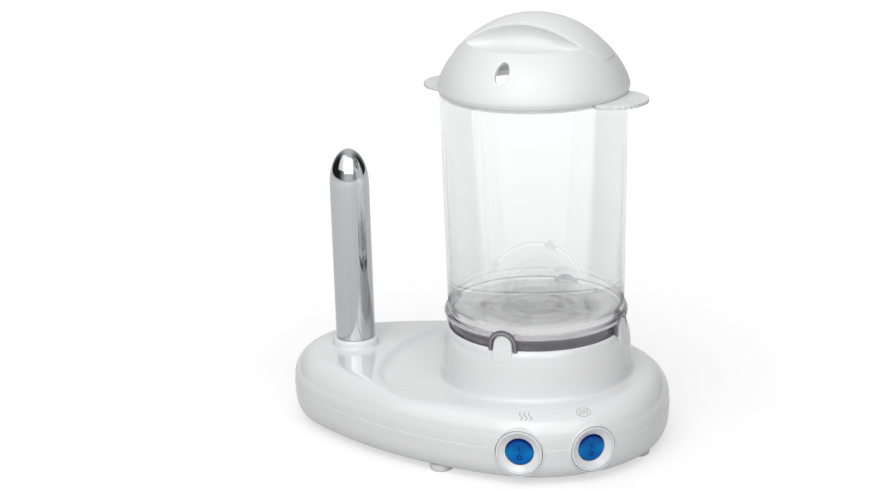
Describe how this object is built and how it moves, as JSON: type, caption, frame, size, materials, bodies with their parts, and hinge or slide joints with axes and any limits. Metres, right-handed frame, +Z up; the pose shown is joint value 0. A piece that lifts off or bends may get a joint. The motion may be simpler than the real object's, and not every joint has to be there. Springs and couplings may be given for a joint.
{
  "type": "hot dog maker",
  "caption": "Countertop sausage steamer with an egg-shaped white base, clear lift-off container, domed lid with grip bar, heated bun spike and round rocker switches.",
  "frame": {"origin": "on the table, under the middle of the bounding box", "axes": "+X from the bun spike towards the container, -Y is the front with the switches, +Z up"},
  "size_m": [0.284, 0.19, 0.3091],
  "materials": {
    "white_gloss": "polished moulding",
    "lid_white": "polished moulding",
    "clear_plastic": "clear moulding",
    "foot_rubber": "matt",
    "screw_steel": "zinc plated",
    "plate_steel": "drawn stainless",
    "silicone": "matt",
    "heater_sheath": "oxidised",
    "ceramic": "unglazed ceramic",
    "brass": "rolled",
    "black_plastic": "moulded",
    "spike_chrome": "polished",
    "cast_aluminium": "as cast",
    "switch_plastic": "moulded",
    "blue_rocker": "translucent moulding",
    "lamp_glass": "clear glass",
    "gland_plastic": "moulded",
    "lead_brown": "insulation",
    "lead_black": "insulation",
    "lead_blue": "insulation",
    "lead_green": "insulation"
  },
  "bodies": {
    "base": {"upper_housing": "white_gloss", "lower_housing": "white_gloss", "feet": "foot_rubber", "housing_screws": "screw_steel", "heating_plate": "plate_steel", "plate_seal": "silicone", "plate_studs": "screw_steel", "plate_nuts": "screw_steel", "heater_element": "heater_sheath", "heater_insulators": "ceramic", "heater_tabs": "brass", "thermostat": "black_plastic", "thermostat_strap": "screw_steel", "strap_studs": "screw_steel", "strap_nuts": "screw_steel", "thermal_fuse": "ceramic", "spike_tube": "spike_chrome", "spike_core": "cast_aluminium", "spike_heater": "heater_sheath", "spike_flange": "screw_steel", "spike_screws": "screw_steel", "bezel_left": "white_gloss", "switch_body_left": "switch_plastic", "terminals_left": "brass", "lamp_left": "lamp_glass", "bezel_right": "white_gloss", "switch_body_right": "switch_plastic", "terminals_right": "brass", "lamp_right": "lamp_glass", "cord_gland": "gland_plastic", "terminal_block": "switch_plastic", "terminal_screws": "brass", "leads_live": "lead_brown", "leads_switched": "lead_black", "leads_neutral": "lead_blue", "leads_earth": "lead_green"},
    "container": {"container": "clear_plastic"},
    "lid": {"lid": "lid_white", "lid_handle": "lid_white"},
    "rocker_left": {"rocker_left": "blue_rocker"},
    "rocker_right": {"rocker_right": "blue_rocker"},
    "lever_left": {"contact_lever_left": "brass"},
    "lever_right": {"contact_lever_right": "brass"}
  },
  "joints": [
    {"name": "container_lift", "type": "slide", "parent": "base", "child": "container", "axis": [0, 0, 1], "range_m": [0, 0.1]},
    {"name": "lid_lift", "type": "slide", "parent": "container", "child": "lid", "axis": [0, 0, 1], "range_m": [0, 0.08]},
    {"name": "rocker_left_tilt", "type": "hinge", "parent": "base", "child": "rocker_left", "pos_m": [0.06704, -0.08396, 0.02524], "axis": [-0.974, -0.2267, 0], "range_deg": [0, 14]},
    {"name": "rocker_right_tilt", "type": "hinge", "parent": "base", "child": "rocker_right", "pos_m": [0.10813, -0.06127, 0.02524], "axis": [-0.7108, -0.7034, 0], "range_deg": [0, 14]},
    {"name": "lever_left_tilt", "type": "hinge", "parent": "base", "child": "lever_left", "pos_m": [0.06511, -0.07568, 0.02524], "axis": [0.974, 0.2267, 0], "range_deg": [0, 14]},
    {"name": "lever_right_tilt", "type": "hinge", "parent": "base", "child": "lever_right", "pos_m": [0.10215, -0.05523, 0.02524], "axis": [0.7108, 0.7034, 0], "range_deg": [0, 14]}
  ],
  "couplings": [
    {"joint": "lever_left_tilt", "follows": "rocker_left_tilt", "ratio": 1},
    {"joint": "lever_right_tilt", "follows": "rocker_right_tilt", "ratio": 1}
  ]
}
